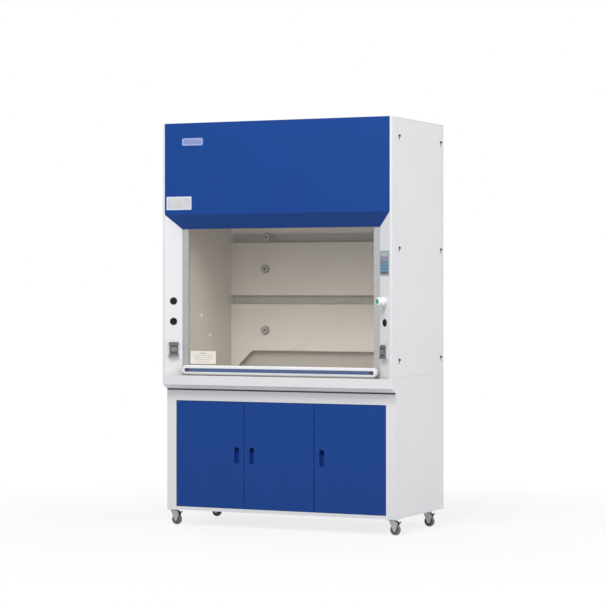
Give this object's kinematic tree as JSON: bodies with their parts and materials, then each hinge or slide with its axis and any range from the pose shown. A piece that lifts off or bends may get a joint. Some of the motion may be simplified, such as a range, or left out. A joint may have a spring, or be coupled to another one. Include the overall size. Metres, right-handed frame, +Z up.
{
  "type": "ducted fume hood",
  "caption": "Floor-standing ducted fume hood: sheet-steel hood with a counterweighted glass sash, baffled work chamber and duct spigot, on a three-door base cupboard with castors.",
  "frame": {"origin": "on the floor, midway across the width and midway between front and back", "axes": "+X to the right seen from the front, +Y from front to back, +Z up"},
  "size_m": [1.48, 0.8048, 2.35],
  "materials": {
    "white_steel": "satin powder coat",
    "blue_steel": "satin powder coat",
    "zinc_steel": "zinc plated",
    "track_aluminium": "anodised",
    "handle_aluminium": "white powder coat",
    "strip_plastic": "satin",
    "sash_glass": "clear safety glass",
    "worktop_ceramic": "matt",
    "liner_board": "smooth resin board",
    "grey_plastic": "moulded",
    "white_plastic": "moulded",
    "green_plastic": "moulded",
    "panel_plastic": "membrane keypad",
    "black_plastic": "moulded",
    "weight_steel": "plain",
    "cable_steel": "stranded"
  },
  "bodies": {
    "hood": {"castor_plates": "zinc_steel", "base_carcass": "white_steel", "door_hinge_pins": "zinc_steel", "worktop_apron": "white_steel", "worktop": "worktop_ceramic", "hood_side_left": "white_steel", "hood_side_right": "white_steel", "access_panel_left": "white_steel", "access_panel_right": "white_steel", "panel_screws": "zinc_steel", "hood_back": "white_steel", "hood_roof": "white_steel", "duct_collar": "zinc_steel", "fascia": "blue_steel", "post_left": "white_steel", "post_right": "white_steel", "liner_left": "liner_board", "liner_right": "liner_board", "rear_liner": "liner_board", "ceiling": "liner_board", "lamp": "white_plastic", "baffle_lower": "liner_board", "baffle_upper": "liner_board", "baffle_top": "liner_board", "baffle_knobs": "grey_plastic", "sash_track_left": "track_aluminium", "sash_track_right": "track_aluminium", "service_plugs": "black_plastic", "control_panel": "panel_plastic", "valve_body": "white_plastic", "socket_boxes": "white_plastic", "sash_cables": "cable_steel", "weight_cables": "cable_steel"},
    "sash": {"sash_glass": "sash_glass", "sash_handle": "handle_aluminium", "handle_strip": "strip_plastic", "sash_top_rail": "track_aluminium"},
    "pulley_left": {"pulley_left": "grey_plastic"},
    "counterweight_left": {"counterweight_left": "weight_steel"},
    "pulley_right": {"pulley_right": "grey_plastic"},
    "counterweight_right": {"counterweight_right": "weight_steel"},
    "door_left": {"door_left": "blue_steel"},
    "door_middle": {"door_middle": "blue_steel"},
    "door_right": {"door_right": "blue_steel"},
    "valve_knob": {"valve_knob": "green_plastic"},
    "socket_cover_left": {"socket_cover_left": "grey_plastic"},
    "socket_cover_right": {"socket_cover_right": "grey_plastic"},
    "castor_fork_front_left": {"castor_fork_front_left": "zinc_steel"},
    "castor_wheel_front_left": {"castor_wheel_front_left": "grey_plastic"},
    "castor_brake_front_left": {"castor_brake_front_left": "black_plastic"},
    "castor_fork_front_right": {"castor_fork_front_right": "zinc_steel"},
    "castor_wheel_front_right": {"castor_wheel_front_right": "grey_plastic"},
    "castor_brake_front_right": {"castor_brake_front_right": "black_plastic"},
    "castor_fork_rear_left": {"castor_fork_rear_left": "zinc_steel"},
    "castor_wheel_rear_left": {"castor_wheel_rear_left": "grey_plastic"},
    "castor_brake_rear_left": {"castor_brake_rear_left": "black_plastic"},
    "castor_fork_rear_right": {"castor_fork_rear_right": "zinc_steel"},
    "castor_wheel_rear_right": {"castor_wheel_rear_right": "grey_plastic"},
    "castor_brake_rear_right": {"castor_brake_rear_right": "black_plastic"}
  },
  "joints": [
    {"name": "sash_slide", "type": "slide", "parent": "hood", "child": "sash", "axis": [0, 0, 1], "range_m": [0, 0.47], "deforming": ["sash_cables", "weight_cables"]},
    {"name": "pulley_spin_left", "type": "hinge", "parent": "hood", "child": "pulley_left", "pos_m": [-0.64, -0.298, 2.27], "axis": [0, 1, 0], "range_deg": [-1080, 0]},
    {"name": "counterweight_slide_left", "type": "slide", "parent": "hood", "child": "counterweight_left", "axis": [0, 0, 1], "range_m": [-0.47, 0]},
    {"name": "pulley_spin_right", "type": "hinge", "parent": "hood", "child": "pulley_right", "pos_m": [0.64, -0.298, 2.27], "axis": [0, 1, 0], "range_deg": [0, 1080]},
    {"name": "counterweight_slide_right", "type": "slide", "parent": "hood", "child": "counterweight_right", "axis": [0, 0, 1], "range_m": [-0.47, 0]},
    {"name": "door_hinge_left", "type": "hinge", "parent": "hood", "child": "door_left", "pos_m": [-0.6585, -0.327, 0.42], "axis": [0, 0, -1], "range_deg": [0, 90]},
    {"name": "door_hinge_middle", "type": "hinge", "parent": "hood", "child": "door_middle", "pos_m": [0.21317, -0.327, 0.42], "axis": [0, 0, 1], "range_deg": [0, 90]},
    {"name": "door_hinge_right", "type": "hinge", "parent": "hood", "child": "door_right", "pos_m": [0.6585, -0.327, 0.42], "axis": [0, 0, 1], "range_deg": [0, 90]},
    {"name": "valve_turn", "type": "hinge", "parent": "hood", "child": "valve_knob", "pos_m": [0.65146, -0.38945, 1.31429], "axis": [-0.5826, -0.8127, 0], "range_deg": [0, 90]},
    {"name": "socket_cover_hinge_left", "type": "hinge", "parent": "hood", "child": "socket_cover_left", "pos_m": [-0.66602, -0.36913, 1.06977], "axis": [-0.8127, -0.5826, 0], "range_deg": [0, 110]},
    {"name": "socket_cover_hinge_right", "type": "hinge", "parent": "hood", "child": "socket_cover_right", "pos_m": [0.66602, -0.36913, 1.06627], "axis": [-0.8127, 0.5826, 0], "range_deg": [0, 110]},
    {"name": "castor_swivel_front_left", "type": "hinge", "parent": "hood", "child": "castor_fork_front_left", "pos_m": [-0.696, -0.303, 0.083], "axis": [0, 0, 1], "continuous": true},
    {"name": "castor_roll_front_left", "type": "hinge", "parent": "castor_fork_front_left", "child": "castor_wheel_front_left", "pos_m": [-0.68, -0.303, 0.031], "axis": [0, 1, 0], "continuous": true},
    {"name": "castor_brake_front_left", "type": "hinge", "parent": "castor_fork_front_left", "child": "castor_brake_front_left", "pos_m": [-0.666, -0.303, 0.067], "axis": [0, 1, 0], "range_deg": [0, 12]},
    {"name": "castor_swivel_front_right", "type": "hinge", "parent": "hood", "child": "castor_fork_front_right", "pos_m": [0.696, -0.303, 0.083], "axis": [0, 0, 1], "continuous": true},
    {"name": "castor_roll_front_right", "type": "hinge", "parent": "castor_fork_front_right", "child": "castor_wheel_front_right", "pos_m": [0.712, -0.303, 0.031], "axis": [0, 1, 0], "continuous": true},
    {"name": "castor_brake_front_right", "type": "hinge", "parent": "castor_fork_front_right", "child": "castor_brake_front_right", "pos_m": [0.726, -0.303, 0.067], "axis": [0, 1, 0], "range_deg": [0, 12]},
    {"name": "castor_swivel_rear_left", "type": "hinge", "parent": "hood", "child": "castor_fork_rear_left", "pos_m": [-0.696, 0.209, 0.083], "axis": [0, 0, 1], "continuous": true},
    {"name": "castor_roll_rear_left", "type": "hinge", "parent": "castor_fork_rear_left", "child": "castor_wheel_rear_left", "pos_m": [-0.68, 0.209, 0.031], "axis": [0, 1, 0], "continuous": true},
    {"name": "castor_brake_rear_left", "type": "hinge", "parent": "castor_fork_rear_left", "child": "castor_brake_rear_left", "pos_m": [-0.666, 0.209, 0.067], "axis": [0, 1, 0], "range_deg": [0, 12]},
    {"name": "castor_swivel_rear_right", "type": "hinge", "parent": "hood", "child": "castor_fork_rear_right", "pos_m": [0.696, 0.209, 0.083], "axis": [0, 0, 1], "continuous": true},
    {"name": "castor_roll_rear_right", "type": "hinge", "parent": "castor_fork_rear_right", "child": "castor_wheel_rear_right", "pos_m": [0.712, 0.209, 0.031], "axis": [0, 1, 0], "continuous": true},
    {"name": "castor_brake_rear_right", "type": "hinge", "parent": "castor_fork_rear_right", "child": "castor_brake_rear_right", "pos_m": [0.726, 0.209, 0.067], "axis": [0, 1, 0], "range_deg": [0, 12]}
  ],
  "couplings": [
    {"joint": "pulley_spin_left", "follows": "sash_slide", "rad_per_m": -40},
    {"joint": "counterweight_slide_left", "follows": "sash_slide", "ratio": -1},
    {"joint": "pulley_spin_right", "follows": "sash_slide", "rad_per_m": 40},
    {"joint": "counterweight_slide_right", "follows": "sash_slide", "ratio": -1}
  ]
}
